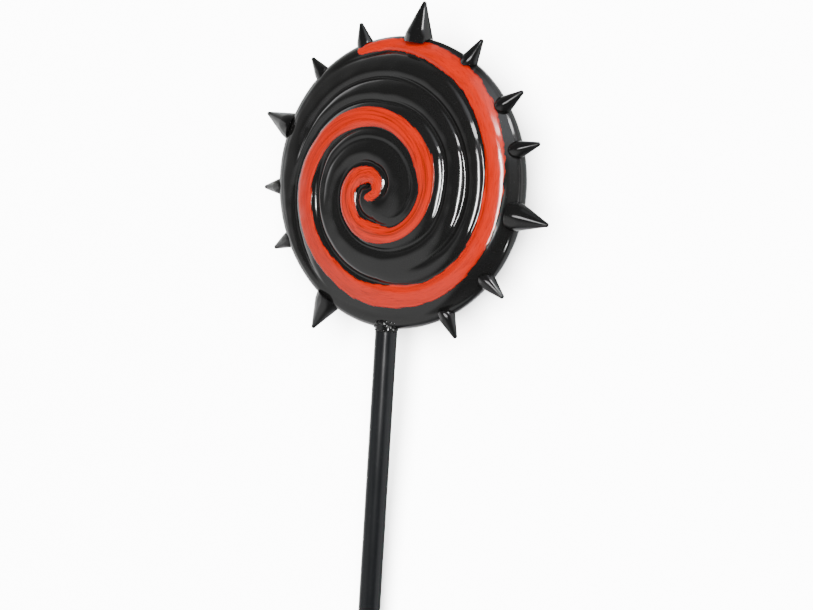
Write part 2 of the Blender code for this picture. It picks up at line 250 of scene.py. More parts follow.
# The room
FLOOR_HALF_WIDTH = 30.0
FLOOR_RADIANCE = 12.0
FLOOR_PALENESS = 0.92
FLOOR_COLOURS = ((0.90, 0.90, 0.90), (0.93, 0.93, 0.93))
FLOOR_SUN_WIDTH = math.radians(75)
FLOOR_SUN_TURN = (math.radians(-8), math.radians(12), 0.0)
DIFFUSE_ROOM = (0.38, 0.38, 0.38)
ROOM_BEHIND = (0.35, 0.35, 0.35)
ROOM_IN_FRONT = (0.05, 0.05, 0.055)
GLOW_LEFT = (1.8, 1.8, 1.8)
GLOW_RIGHT = (0.4, 0.4, 0.4)

# Black plastics: darkest and lightest colour, smoothest and roughest finish
HEAD_BLACK = ((0.0125, 0.0125, 0.012), (0.0165, 0.0165, 0.016), 0.065, 0.105)
SPIKE_BLACK = ((0.009, 0.009, 0.009), (0.014, 0.014, 0.014), 0.09, 0.15)
STICK_BLACK = ((0.0115, 0.0130, 0.0145), (0.0150, 0.0165, 0.0185), 0.20, 0.27)
GLUE_BLACK = ((0.004, 0.004, 0.004), (0.009, 0.009, 0.009), 0.22, 0.38)
DUST = (0.10, 0.10, 0.11)

# The paint, from full cover to hardly any
PAINT_DEEP = (0.92, 0.021, 0.001)
PAINT_BRIGHT = (1.0, 0.027, 0.001)
PAINT_PATCH = (0.44, 0.024, 0.002)
PAINT_SCRATCH = (0.26, 0.018, 0.003)
PAINT_THIN = (0.14, 0.010, 0.003)
PAINT_FLAW = (0.10, 0.010, 0.003)


def smooth_step(value):
    value = np.clip(value, 0.0, 1.0)
    return value * value * (3.0 - 2.0 * value)


def smooth_larger(first, second, width):
    """The larger of two heights, with the corner between them melted over a width."""
    share = np.clip(0.5 + 0.5 * (first - second) / width, 0.0, 1.0)
    return second + (first - second) * share + width * share * (1.0 - share)


def swirl_turns(radius):
    root = SWIRL_PITCH ** 2 - 4.0 * SWIRL_SLOWING * (SWIRL_START - radius)
    return (SWIRL_PITCH - np.sqrt(np.maximum(root, 0.0))) / (2.0 * SWIRL_SLOWING)


def swirl_place(x, y):
    """Radius and clockwise turn of points round the swirl's centre."""
    across = y - SWIRL_CENTRE_Y
    return np.hypot(x, across), np.arctan2(x, across) / math.tau


def ridge_relief(x, y):
    """Depth below the crest level, with the grooves rounded as in a moulding."""
    radius, clockwise = swirl_place(x, y)
    together = np.zeros_like(radius)
    for groove in (GROOVE_INSIDE_STROKE, GROOVE_OUTSIDE_STROKE, GROOVE_BETWEEN):
        degrees, radii, depths = np.array(groove).T
        for winding in GROOVE_WINDINGS:
            angle = 360.0 * (clockwise + winding)
            share = np.interp(angle, degrees, depths, left=0.0, right=0.0)
            aside = radius - np.interp(angle, degrees, radii) * HEAD_RADIUS
            fall = np.zeros_like(radius)
            for shift in np.linspace(-GROOVE_ROUNDING, GROOVE_ROUNDING, GROOVE_TAPS):
                to_crest = np.clip(1.0 - np.abs(aside + shift) / RIDGE_HALF_WIDTH, 0.0, 1.0)
                fall += 1.0 - (1.0 - to_crest ** RIDGE_FLATNESS) ** RIDGE_SHOULDER
            together += (share * fall / GROOVE_TAPS) ** GROOVE_MEETING
    return RIDGE_DEPTH * together ** (1.0 / GROOVE_MEETING) * smooth_step(radius / KNOT_RADIUS)


def ripple(x, y, seed):
    """A slow waviness, as in a hand-finished moulding."""
    draw = np.random.default_rng(seed)
    height = np.zeros_like(x)
    for _ in range(RIPPLE_WAVES):
        wave = math.tau / draw.uniform(*RIPPLE_LENGTHS)
        heading = draw.uniform(0.0, math.tau)
        start = draw.uniform(0.0, math.tau)
        height += np.sin(wave * (x * math.cos(heading) + y * math.sin(heading)) + start)
    return RIPPLE_HEIGHT * height / math.sqrt(RIPPLE_WAVES)


def hollow(x, y):
    """Depth of the small hollow where the swirl ends."""
    east, north = x - HOLLOW_CENTRE[0], y - HOLLOW_CENTRE[1]
    length = (east * math.cos(HOLLOW_TURN) + north * math.sin(HOLLOW_TURN)) / HOLLOW_LENGTH
    width = (north * math.cos(HOLLOW_TURN) - east * math.sin(HOLLOW_TURN)) / HOLLOW_WIDTH
    return HOLLOW_DEPTH * np.exp(-(length ** 2 + width ** 2))


def paint_stroke(x, y):
    """For each point: how far along, across and inside the painted stroke it lies."""
    edges = np.array(PAINT_EDGES)
    degrees, outer, inner = edges[:, 0], edges[:, 1] * HEAD_RADIUS, edges[:, 2] * HEAD_RADIUS
    radius, clockwise = swirl_place(x, y)
    best = np.full(x.shape, -1.0)
    along = np.zeros_like(x)
    across = np.zeros_like(x)
    for winding in PAINT_WINDINGS:
        angle = 360.0 * (clockwise + winding)
        high = np.interp(angle, degrees, outer)
        low = np.interp(angle, degrees, inner)
        to_low = np.where(low > 0.0, radius - low, radius + PAINT_CENTRE_MARGIN)
        reach = np.minimum(high - radius, to_low)
        past_end = np.maximum(degrees[0] - angle, angle - degrees[-1])
        reach = np.where(past_end > 0.0, PAINT_NOWHERE, reach)
        closer = reach > best
        best = np.where(closer, reach, best)
        path = np.radians(angle) * (radius + PAINT_PATH_MARGIN)
        along = np.where(closer, path, along)
        across = np.where(closer, radius - (high + low) / 2.0, across)
    return along, across, best


def towards(x, y, heading, reach):
    """1 where a point's direction from the middle is near a heading, 0 further off than a reach."""
    off = np.abs((np.arctan2(x, y) - heading + math.pi) % math.tau - math.pi)
    return smooth_step((reach - off) / HEADING_BLEND)


def shoulder(x, y):
    """How far the painted ridge itself makes the edge, from 0 to 1."""
    return towards(x, y, SHOULDER_HEADING, SHOULDER_REACH)


class Face:
    """One side of the head as a height above the seam."""

    def __init__(self, rounding, apex, edge_level, power, fade_start, seed, has_shoulder):
        self.rounding = rounding
        self.apex = apex
        self.edge_level = edge_level
        self.power = power
        self.fade_start = fade_start
        self.seed = seed
        self.has_shoulder = has_shoulder

    def rim_rounding(self, x, y):
        if not self.has_shoulder:
            return np.full_like(x, self.rounding)
        return self.rounding + (SHOULDER_ROUNDING - self.rounding) * shoulder(x, y)

    def rim_height(self, x, y):
        rounding = self.rim_rounding(x, y)
        inside = rounding ** 2 - (np.hypot(x, y) - HEAD_RADIUS + rounding) ** 2
        return np.sqrt(np.maximum(inside, 0.0))

    def crest_level(self, radius):
        rise = (self.apex - self.edge_level) * (1.0 - (radius / HEAD_RADIUS) ** self.power)
        return self.edge_level + rise

    def height(self, x, y):
        radius = np.hypot(x, y)
        share = shoulder(x, y) if self.has_shoulder else 0.0
        fade_start = self.fade_start + (SHOULDER_FADE_START - self.fade_start) * share
        steepness = EDGE_FADE_STEEPNESS + (SHOULDER_STEEPNESS - EDGE_FADE_STEEPNESS) * share
        over = np.maximum(0.0, radius - fade_start)
        bent = np.minimum(over, EDGE_FADE_BEND)
        fade = steepness * bent * (2.0 * over - bent)
        out = radius / HEAD_RADIUS
        rise = SHOULDER_RISE * share * smooth_step((out - SHOULDER_FOOT) / SHOULDER_FOOT_WIDTH)
        if self.has_shoulder:
            brow = towards(x, y, BROW_HEADING, BROW_REACH)
            brow = brow * smooth_step((out - BROW_FOOT) / BROW_FOOT_WIDTH)
            rise = rise + BROW_RISE * brow
        swirl = self.crest_level(radius) + rise - ridge_relief(x, y) - fade - hollow(x, y)
        return smooth_larger(self.rim_height(x, y), swirl + ripple(x, y, self.seed), MELT)

    def steepest_at(self, slope):
        """The radius where the dome of the crests leans by a given slope."""
        full = self.power * (self.apex - self.edge_level) / HEAD_RADIUS
        return HEAD_RADIUS * (slope / full) ** (1.0 / (self.power - 1.0))


FRONT = Face(FRONT_RIM_ROUNDING, FRONT_APEX, FRONT_EDGE_LEVEL, FRONT_DOME_POWER,
             FRONT_EDGE_FADE_START, seed=3, has_shoulder=True)
BACK = Face(BACK_RIM_ROUNDING, BACK_APEX, BACK_EDGE_LEVEL, BACK_DOME_POWER,
            BACK_EDGE_FADE_START, seed=8, has_shoulder=False)


def rest_tilt():
    """The tilt at which the stick's end and the head's back touch one level surface."""
    low, high = 0.0, STEEPEST_REST
    for _ in range(REST_SEARCH_STEPS):
        tilt = (low + high) / 2
        reach = BACK.steepest_at(math.tan(tilt))
        level = -BACK.crest_level(reach)
        head = level * math.cos(tilt) - reach * math.sin(tilt) + FLAT_SPOT_DEPTH
        end_y = STICK_END_Y + STICK_END_ROUNDING
        stick = -STICK_RADIUS * math.cos(tilt) + end_y * math.sin(tilt)
        if stick > head:
            low = tilt
        else:
            high = tilt
    return tilt


def head_placement():
    """The transform from the head's own frame to the lying pose."""
    tilt = rest_tilt()
    reach = BACK.steepest_at(math.tan(tilt))
    turn = Matrix.Rotation(tilt, 4, "X")
    touch = turn @ Vector((0.0, -reach, -BACK.crest_level(reach)))
    touch.z += FLAT_SPOT_DEPTH
    return Matrix.Translation(-touch) @ turn


PLACEMENT = head_placement()


def transform_points(matrix, points):
    moved = np.asarray(matrix)
    return points @ moved[:3, :3].T + moved[:3, 3]


def add_piece(name, points, faces, material, nodes):
    """Makes a smooth mesh piece that rides on the part and stands for CAD nodes."""
    mesh = bpy.data.meshes.new(name)
    mesh.from_pydata(points.tolist(), [], faces)
    mesh.validate()
    mesh.update()
    mesh.shade_smooth()
    mesh.set_sharp_from_angle(angle=SHARP_EDGE)
    mesh.materials.append(material)
    piece = bpy.data.objects.new(name, mesh)
    bpy.context.scene.collection.objects.link(piece)
    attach(piece, "root")
    if nodes:
        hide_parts(*nodes)
    return piece


def ring_quads(rings, sides):
    """Quads between rings that follow each other, all with the same number of points."""
    lower = np.arange(rings - 1)[:, None] * sides
    step = np.arange(sides)[None, :]
    after = (step + 1) % sides
    upper = lower + sides
    quads = np.stack([lower + step, lower + after, upper + after, upper + step], axis=-1)
    return quads.reshape(-1, 4).tolist()


def fan(centre, loop):
    """Triangles from a centre point to a closed loop of points."""
    return [[centre, loop[step], loop[(step + 1) % len(loop)]] for step in range(len(loop))]


def shell_points(face, sectors):
    """The points of a face, ring by ring from the seam inwards, then its apex and base middle."""
    angles = np.linspace(0.0, math.tau, sectors, endpoint=False)
    ways = np.stack([np.cos(angles), np.sin(angles)])
    rounding = face.rim_rounding(*ways)
    rings = []
    heights = SEAM_HEIGHTS + tuple(face.rounding * math.sin(bend) for bend in EDGE_BENDS)
    for height in heights:
        level = height * rounding / face.rounding
        out = HEAD_RADIUS - rounding + np.sqrt(rounding ** 2 - level ** 2)
        out = out - SEAM_INSET * max(0.0, 1.0 - height / SEAM_LIP) ** 2
        rings.append((out * ways, level))
    last = np.hypot(*rings[-1][0])
    inner = EDGE_ZONE * HEAD_RADIUS
    for share in np.linspace(0.0, 1.0, EDGE_RINGS + 1)[1:]:
        place = (last + (inner - last) * share) * ways
        rings.append((place, face.height(*place)))
    for radius in np.linspace(inner, 0.0, round(inner / FACE_RING_STEP) + 1)[1:-1]:
        rings.append((radius * ways, face.height(*(radius * ways))))
    middle = np.zeros(2)
    x = np.concatenate([place[0] for place, _ in rings] + [middle])
    y = np.concatenate([place[1] for place, _ in rings] + [middle])
    z = np.concatenate([level for _, level in rings] + [middle])
    z[-2] = face.height(middle, middle)[0]
    z[-1] = SEAM_HEIGHTS[0]
    return x, y, z, len(rings)


def build_shell(name, face, turn, sectors, has_flat_spot, material, node):
    """A fine mesh of one half of the head, with the painted stroke's thickness."""
    x, y, z, rings = shell_points(face, sectors)
    apex, base = len(x) - 2, len(x) - 1
    along, across, reach = paint_stroke(x, y)
    painted = smooth_step(0.5 + reach / PAINT_EDGE_SLOPE)
    z = z + PAINT_THICKNESS * painted * smooth_step(z / PAINT_RIM_FADE)
    points = transform_points(PLACEMENT @ turn, np.stack([x, y, z], axis=-1))
    if has_flat_spot:
        distance = np.hypot(points[:, 0], points[:, 1])
        under = (distance < FLAT_SPOT_RADIUS + FLAT_SPOT_BLEND) & (z > BACK_EDGE_LEVEL)
        outside = smooth_step((distance - FLAT_SPOT_RADIUS) / FLAT_SPOT_BLEND)
        level = np.maximum(points[:, 2] * outside, 0.0)
        points[:, 2] = np.where(under, level, points[:, 2])
        points[:, 2] = np.maximum(points[:, 2], 0.0)
    faces = ring_quads(rings, sectors)
    last = (rings - 1) * sectors
    faces += fan(apex, list(range(last, last + sectors)))
    faces += fan(base, list(reversed(range(sectors))))
    piece = add_piece(name, points, faces, material, [node])
    radius, clockwise = swirl_place(x, y)
    winding = math.tau * (swirl_turns(radius) - clockwise)
    add_vectors(piece, "stroke", along / MM, across / MM, reach / MM)
    add_vectors(piece, "flow", np.cos(winding), np.sin(winding), radius / MM)


def add_vectors(piece, name, first, second, third):
    """Stores three numbers for each point, for the material."""
    attribute = piece.data.attributes.new(name, "FLOAT_VECTOR", "POINT")
    values = np.stack([first, second, third], axis=-1).astype(np.float32)
    attribute.data.foreach_set("vector", values.ravel())


def rim_radius(z):
    """How far out the rim reaches at a height above or below the seam."""
    rounding = np.where(z > 0, FRONT_RIM_ROUNDING, BACK_RIM_ROUNDING)
    return HEAD_RADIUS - rounding + np.sqrt(np.maximum(rounding ** 2 - z * z, 0.0))


def seat_distance(across, z, foot_plane):
    """How far from the head's axis a point of a foot sits, just clear of the rim."""
    reach = (rim_radius(z) + GAP) ** 2 - across ** 2
    return np.maximum(np.sqrt(np.maximum(reach, 0.0)), foot_plane)


def build_rim_piece(name, angle, level, foot_plane, foot_shares, profile, sides,
                    material, node):
    """A round piece that stands on the rim: its foot fits the rim, then rings follow a profile.

    The profile has places, as LONGEST_LIFT says, with radii. The first radius is the foot's.
    """
    outward = np.array([math.cos(math.radians(angle)), math.sin(math.radians(angle)), 0.0])
    sideways = np.array([-outward[1], outward[0], 0.0])
    bends = np.linspace(0.0, math.tau, sides, endpoint=False)
    foot_radius = profile[0][1]
    rings = []

    def ring(radius, place):
        across, up = radius * np.cos(bends), radius * np.sin(bends)
        if place < LONGEST_LIFT:
            reach = seat_distance(across, level + up, foot_plane) + place
        else:
            reach = np.full(sides, place)
        spot = outward * reach[:, None] + sideways * across[:, None]
        spot[:, 2] += level + up
        rings.append(spot)

    for share in foot_shares:
        ring(foot_radius * share, 0.0)
    for place, radius in profile[1:]:
        ring(radius, place)
    seat = seat_distance(np.zeros(1), np.full(1, level), foot_plane)[0]
    foot = outward * seat + np.array([0.0, 0.0, level])
    tip = rings[-1].mean(axis=0)
    points = np.concatenate(rings + [foot[None, :], tip[None, :]])
    count = len(rings)
    faces = ring_quads(count, sides)
    faces += fan(count * sides, list(reversed(range(sides))))
    faces += fan(count * sides + 1, list(range((count - 1) * sides, count * sides)))
    add_piece(name, transform_points(PLACEMENT, points), faces, material, [node])


def build_spike(name, angle, size, material, node):
    """A cone with a softened foot edge and a small round point."""
    tip, foot = size["tip"], size["foot_radius"]
    ball = SPIKE_POINT_RADIUS
    ball_middle = tip - ball
    profile = [
        (0.0, foot - SPIKE_EDGE),
        (0.3 * SPIKE_EDGE, foot - 0.12 * SPIKE_EDGE),
        (SPIKE_EDGE, foot),
    ]
    for share in np.linspace(0.0, 1.0, SPIKE_STRAIGHT_RINGS):
        distance = SPIKE_STRAIGHT_START + (ball_middle - SPIKE_STRAIGHT_START) * share
        radius = foot + (ball - foot) * (distance - HEAD_RADIUS) / (ball_middle - HEAD_RADIUS)
        profile.append((distance, radius))
    for step in range(1, TIP_RINGS + 1):
        bend = SPIKE_POINT_BEND * step / TIP_RINGS
        profile.append((ball_middle + ball * math.sin(bend), ball * math.cos(bend)))
    shares = (0.35, 0.7, 1.0)
    build_rim_piece(name, angle, SPIKE_LEVEL, SPIKE_FOOT_PLANE, shares, profile, SPIKE_SIDES,
                    material, node)


def build_neck(material):
    """The short moulded neck that joins the head to the stick."""
    end = HEAD_RADIUS + NECK_REACH
    profile = [(0.0, NECK_RADIUS)]
    profile += [(end - back, NECK_RADIUS - inset) for back, inset in NECK_BEVEL]
    profile.append((end, NECK_END_RADIUS))
    shares = (0.3, 0.6, 0.8, 1.0)
    build_rim_piece("neck_collar", 270.0, 0.0, NECK_FOOT_PLANE, shares, profile, STICK_SIDES,
                    material, "neck")


def build_glue(material):
    """The dried glue round the neck, as lumps melted together."""
    draw = np.random.default_rng(GLUE_SEED)
    work = bmesh.new()

    def lump(x, y, z, size):
        stretch = Matrix.Diagonal((*(size * draw.uniform(0.8, 1.2, 3)), 1.0))
        place = Matrix.Translation((x, y, z)) @ stretch
        bmesh.ops.create_icosphere(work, subdivisions=3, radius=1.0, matrix=place)

    for step in range(GLUE_LUMPS):
        bend = math.tau * (step + draw.uniform(-0.3, 0.3)) / GLUE_LUMPS
        x, z = GLUE_RING * math.cos(bend), GLUE_RING * math.sin(bend)
        facing = max(0.0, math.sin(bend + GLUE_HEAVY_SIDE))
        seat = float(seat_distance(x, np.float64(z), NECK_FOOT_PLANE))
        lift = draw.uniform(0.2, 0.8) * MM
        size = (0.6 + 1.2 * facing + draw.uniform(0.0, 0.3)) * MM
        lump(x, -(seat + lift), z, size)
        lift = draw.uniform(0.7, 1.5) * MM
        size = draw.uniform(0.45, 0.75 + 0.4 * facing) * MM
        lump(0.98 * x, -(HEAD_RADIUS + lift), 0.98 * z, size)
    for x, y, z, size in GLUE_SMEAR:
        lump(x * MM, y * MM, z * MM, size * MM)
    mesh = bpy.data.meshes.new("glue_lumps")
    work.to_mesh(mesh)
    work.free()
    rough = bpy.data.objects.new("glue_lumps", mesh)
    bpy.context.scene.collection.objects.link(rough)
    melt = rough.modifiers.new("melt", "REMESH")
    melt.mode = "VOXEL"
    melt.voxel_size = GLUE_VOXEL
    soften = rough.modifiers.new("soften", "SMOOTH")
    soften.factor = 0.5
    soften.iterations = GLUE_SMOOTHINGS
    melted = rough.evaluated_get(bpy.context.evaluated_depsgraph_get()).to_mesh()
    points = np.array([vertex.co for vertex in melted.vertices])
    faces = [list(face.vertices) for face in melted.polygons]
    bpy.data.objects.remove(rough)
    points = transform_points(PLACEMENT, points)
    add_piece("glue_beads", points, faces, material, [])


def build_stick(material):
    """The plain round stick, from the neck to its rounded end."""
    start_y = -(HEAD_RADIUS + NECK_REACH + GAP)
    bevel = STICK_END_ROUNDING
    profile = [(start_y, STICK_RADIUS - STICK_EDGE), (start_y - STICK_EDGE, STICK_RADIUS)]
    for y in np.linspace(start_y - 2 * MM, STICK_END_Y + bevel + 1 * MM, STICK_RINGS):
        profile.append((y, STICK_RADIUS))
    for step in range(STICK_END_RINGS):
        bend = math.radians(90) * step / (STICK_END_RINGS - 1)
        y = STICK_END_Y + bevel * (STICK_END_SHARE - math.sin(bend))
        profile.append((y, STICK_RADIUS - bevel * (1 - math.cos(bend))))
    bends = np.linspace(0.0, math.tau, STICK_SIDES, endpoint=False)
    rings = []
    for y, radius in profile:
        x, z = radius * np.cos(bends), radius * np.sin(bends)
        rings.append(np.stack([x, np.full(STICK_SIDES, y), z], axis=-1))
    ends = np.array([[0.0, start_y, 0.0], [0.0, STICK_END_Y, 0.0]])
    points = np.concatenate(rings + [ends])
    count = len(rings)
    faces = ring_quads(count, STICK_SIDES)
    after = count * STICK_SIDES
    faces += fan(after, list(reversed(range(STICK_SIDES))))
    faces += fan(after + 1, list(range(after - STICK_SIDES, after)))
    points = transform_points(PLACEMENT, points)
    add_piece("stick_tube", points, faces, material, ["stick"])


def add_node(tree, kind, settings=None, **inputs):
    """A shader node with its settings and its inputs, by name or as i0, i1 and so on."""
    node = tree.nodes.new(kind)
    for name, value in (settings or {}).items():
        setattr(node, name, value)
    for name, value in inputs.items():
        by_number = name[0] == "i" and name[1:].isdigit()
        socket = node.inputs[int(name[1:]) if by_number else name]
        if isinstance(value, bpy.types.NodeSocket):
            tree.links.new(value, socket)
        else:
            socket.default_value = value
    return node


def math_node(tree, operation, *values):
    inputs = {"i%d" % index: value for index, value in enumerate(values)}
    return add_node(tree, "ShaderNodeMath", {"operation": operation}, **inputs).outputs[0]


def noise(tree, vector, scale, detail=2.0, roughness=0.5):
    node = add_node(tree, "ShaderNodeTexNoise", None,
                    Vector=vector, Scale=scale, Detail=detail, Roughness=roughness)
    return node.outputs["Fac"]


def remap(tree, value, low, high, to_low, to_high, smooth=False):
    settings = {"interpolation_type": "SMOOTHSTEP" if smooth else "LINEAR"}
    node = add_node(tree, "ShaderNodeMapRange", settings,
                    i0=value, i1=low, i2=high, i3=to_low, i4=to_high)
    return node.outputs[0]


def mix_colour(tree, share, first, second):
    """Mixes two colours, each a socket or three numbers."""
    ends = [(*value, 1.0) if isinstance(value, tuple) else value for value in (first, second)]
    node = add_node(tree, "ShaderNodeMix", {"data_type": "RGBA"},
                    Factor=share, i6=ends[0], i7=ends[1])
    return node.outputs[2]


def mix_value(tree, share, first, second):
    node = add_node(tree, "ShaderNodeMix", {"data_type": "FLOAT"},
                    Factor=share, i2=first, i3=second)
    return node.outputs[0]


def stretched(tree, vector, *scales):
    """A vector with each part scaled by its own amount."""
    node = add_node(tree, "ShaderNodeVectorMath", {"operation": "MULTIPLY"}, i0=vector, i1=scales)
    return node.outputs[0]


def begin_material(name):
    material = bpy.data.materials.new(name)
    material.use_nodes = True
    tree = material.node_tree
    return material, tree, tree.nodes["Principled BSDF"]


def finish_material(tree, shader, colour, roughness, height):
    """Links colour, roughness and a height in millimetres to the shader."""
    bump = add_node(tree, "ShaderNodeBump", None, Strength=1.0, Distance=MM, Height=height)
    tree.links.new(colour, shader.inputs["Base Color"])
    tree.links.new(roughness, shader.inputs["Roughness"])
    tree.links.new(bump.outputs["Normal"], shader.inputs["Normal"])


def plastic_surface(tree, place, dark, light, smoothest, roughest):
    """Colour, roughness and height of a black moulded plastic."""
    smudge = noise(tree, place, 22.0, 4.0, 0.6)
    grain = noise(tree, place, 900.0, 2.0)
    speck = noise(tree, place, 2600.0, 0.0)
    colour = mix_colour(tree, smudge, dark, light)
    dust = remap(tree, speck, 0.80, 0.86, 0.0, 0.45)
    colour = mix_colour(tree, dust, colour, DUST)
    roughness = remap(tree, smudge, 0.3, 0.7, smoothest, roughest)
    roughness = math_node(tree, "ADD", roughness, math_node(tree, "MULTIPLY", dust, 0.4))
    slow = math_node(tree, "MULTIPLY", noise(tree, place, 110.0, 1.0), 0.020)
    fine = math_node(tree, "MULTIPLY", grain, 0.0016)
    return colour, roughness, math_node(tree, "ADD", slow, fine)


def painted_plastic():
    """Gloss black plastic with a hand-brushed orange-red stroke along one ridge."""
    material, tree, shader = begin_material("painted_gloss_plastic")
    place = add_node(tree, "ShaderNodeTexCoord").outputs["Object"]
    stroke = add_node(tree, "ShaderNodeAttribute", {"attribute_name": "stroke"}).outputs["Vector"]
    flow = add_node(tree, "ShaderNodeAttribute", {"attribute_name": "flow"}).outputs["Vector"]
    reach = add_node(tree, "ShaderNodeSeparateXYZ", None, Vector=stroke).outputs["Z"]

    black, black_roughness, black_height = plastic_surface(tree, place, *HEAD_BLACK)
    hairs = noise(tree, stretched(tree, flow, 7.0, 7.0, 0.16), 1.0, 4.0, 0.65)
    black_height = math_node(tree, "ADD", black_height, math_node(tree, "MULTIPLY", hairs, 0.014))

    wander = noise(tree, stretched(tree, stroke, 0.11, 0.16, 0.0), 1.0, 1.0)
    dabs = noise(tree, stretched(tree, stroke, 0.22, 0.7, 0.0), 1.0, 2.0, 0.5)
    wander = remap(tree, wander, 0.0, 1.0, -1.3, 1.3)
    dabs = remap(tree, dabs, 0.0, 1.0, -0.55, 0.55)
    edge = math_node(tree, "ADD", reach, math_node(tree, "ADD", wander, dabs))
    cover = remap(tree, edge, -0.12, 0.16, 0.0, 1.0, True)

    streaks = noise(tree, stretched(tree, stroke, 0.09, 0.80, 0.0), 1.0, 4.0, 0.6)
    broad = noise(tree, stretched(tree, stroke, 0.035, 0.30, 0.0), 1.0, 2.0)
    radius = add_node(tree, "ShaderNodeSeparateXYZ", None, Vector=flow).outputs["Z"]
    worn = remap(tree, radius, 78.0, 46.0, 0.25, 1.0)
    tone = mix_colour(tree, remap(tree, streaks, 0.35, 0.68, 0.0, 1.0), PAINT_DEEP, PAINT_BRIGHT)
    patchy = math_node(tree, "MULTIPLY", remap(tree, broad, 0.47, 0.68, 0.0, 0.95), worn)
    tone = mix_colour(tree, patchy, tone, PAINT_PATCH)
    scratchy = math_node(tree, "MULTIPLY", remap(tree, streaks, 0.46, 0.32, 0.0, 0.85), worn)
    tone = mix_colour(tree, scratchy, tone, PAINT_SCRATCH)
    thin = remap(tree, edge, 0.0, 0.9, 0.85, 0.0, True)
    thin = math_node(tree, "MULTIPLY", thin, remap(tree, streaks, 0.35, 0.6, 1.1, 0.5))
    tone = mix_colour(tree, thin, tone, PAINT_THIN)
    flaw = noise(tree, stretched(tree, stroke, 0.30, 0.50, 0.0), 1.0, 3.0, 0.7)
    tone = mix_colour(tree, remap(tree, flaw, 0.70, 0.76, 0.0, 0.8), tone, PAINT_FLAW)
    paint_roughness = remap(tree, streaks, 0.3, 0.7, 0.10, 0.17)
    paint_height = math_node(tree, "MULTIPLY", streaks, 0.014)
    paint_height = math_node(tree, "ADD", paint_height, 0.05)

    colour = mix_colour(tree, cover, black, tone)
    roughness = mix_value(tree, cover, black_roughness, paint_roughness)
    height = math_node(tree, "ADD", black_height, math_node(tree, "MULTIPLY", cover, paint_height))
    finish_material(tree, shader, colour, roughness, height)
    return material


def spike_plastic():
    """Gloss black plastic of the cones."""
    material, tree, shader = begin_material("gloss_spike_plastic")
    place = add_node(tree, "ShaderNodeTexCoord").outputs["Object"]
    finish_material(tree, shader, *plastic_surface(tree, place, *SPIKE_BLACK))
    return material


def stick_plastic():
    """Semi-gloss black plastic of the tube, with faint lines along it."""
    material, tree, shader = begin_material("semi_gloss_stick_plastic")
    place = add_node(tree, "ShaderNodeTexCoord").outputs["Object"]
    colour, roughness, height = plastic_surface(tree, place, *STICK_BLACK)
    shader.inputs["Specular IOR Level"].default_value = 0.30
    lines = noise(tree, stretched(tree, place, 900.0, 6.0, 900.0), 1.0, 3.0)
    height = math_node(tree, "ADD", height, math_node(tree, "MULTIPLY", lines, 0.006))
    finish_material(tree, shader, colour, roughness, height)
    return material


def glue_plastic():
    """Dried black glue, glossy and uneven."""
    material, tree, shader = begin_material("dried_black_glue")
    place = add_node(tree, "ShaderNodeTexCoord").outputs["Object"]
    finish_material(tree, shader, *plastic_surface(tree, place, *GLUE_BLACK))
    return material


def build_lollipop():
    painted = painted_plastic()
    spiky = spike_plastic()
    tube = stick_plastic()
    turned_over = Matrix.Rotation(math.pi, 4, "Y")
    upright = Matrix.Identity(4)
    build_shell("front_shell", FRONT, upright, FRONT_SECTORS, False, painted, "head_front")
    build_shell("back_shell", BACK, turned_over, BACK_SECTORS, True, painted, "head_back")
    build_neck(spiky)
    build_glue(glue_plastic())
    build_stick(tube)
    kinds = (("large", LARGE_SPIKE, LARGE_SPIKE_ANGLES), ("small", SMALL_SPIKE, SMALL_SPIKE_ANGLES))
    for kind, size, angles in kinds:
        for number, angle in enumerate(angles, 1):
            node = "%s_spike_%d" % (kind, number)
            form = LONG_SMALL_SPIKE if angle in LONG_SMALL_ANGLES else size
            build_spike("%s_cone_%d" % (kind, number), angle, form, spiky, node)


def camera_axes():
    """The camera's right, up and backward directions and its place, in the head's frame."""
    back = Vector((
        math.sin(VIEW_YAW) * math.cos(VIEW_PITCH),
        math.sin(VIEW_PITCH),
        math.cos(VIEW_YAW) * math.cos(VIEW_PITCH),
    ))
    level = Vector((0.0, 1.0, 0.0)).cross(back).normalized()
    rise = back.cross(level)
    right = math.cos(VIEW_ROLL) * level + math.sin(VIEW_ROLL) * rise
    up = math.cos(VIEW_ROLL) * rise - math.sin(VIEW_ROLL) * level
    aside = (HEAD_PIXEL_X - IMAGE_WIDTH / 2) / HEAD_PIXELS
    above = (IMAGE_HEIGHT / 2 - HEAD_PIXEL_Y) / HEAD_PIXELS
    place = (VIEW_DISTANCE * back - aside * right - above * up) * HEAD_RADIUS
    return right, up, back, place


def camera_matrix():
    right, up, back, place = camera_axes()
    rows = [[right[row], up[row], back[row], place[row]] for row in range(3)]
    return PLACEMENT @ Matrix(rows + [[0.0, 0.0, 0.0, 1.0]])


def add_camera():
    data = bpy.data.cameras.new("camera")
    data.sensor_fit = "HORIZONTAL"
    data.sensor_width = SENSOR_WIDTH
    data.lens = HEAD_PIXELS * VIEW_DISTANCE / IMAGE_WIDTH * SENSOR_WIDTH
    data.clip_start = 0.01
    data.clip_end = 100.0
    camera = bpy.data.objects.new("camera", data)
    camera.matrix_world = camera_matrix()
    bpy.context.scene.collection.objects.link(camera)
    bpy.context.scene.camera = camera


def off_axis(right_degrees, up_degrees):
    """A turn from the camera's axis to the right and up."""
    to_right = Matrix.Rotation(math.radians(right_degrees), 3, "Y")
    return to_right @ Matrix.Rotation(-math.radians(up_degrees), 3, "X")


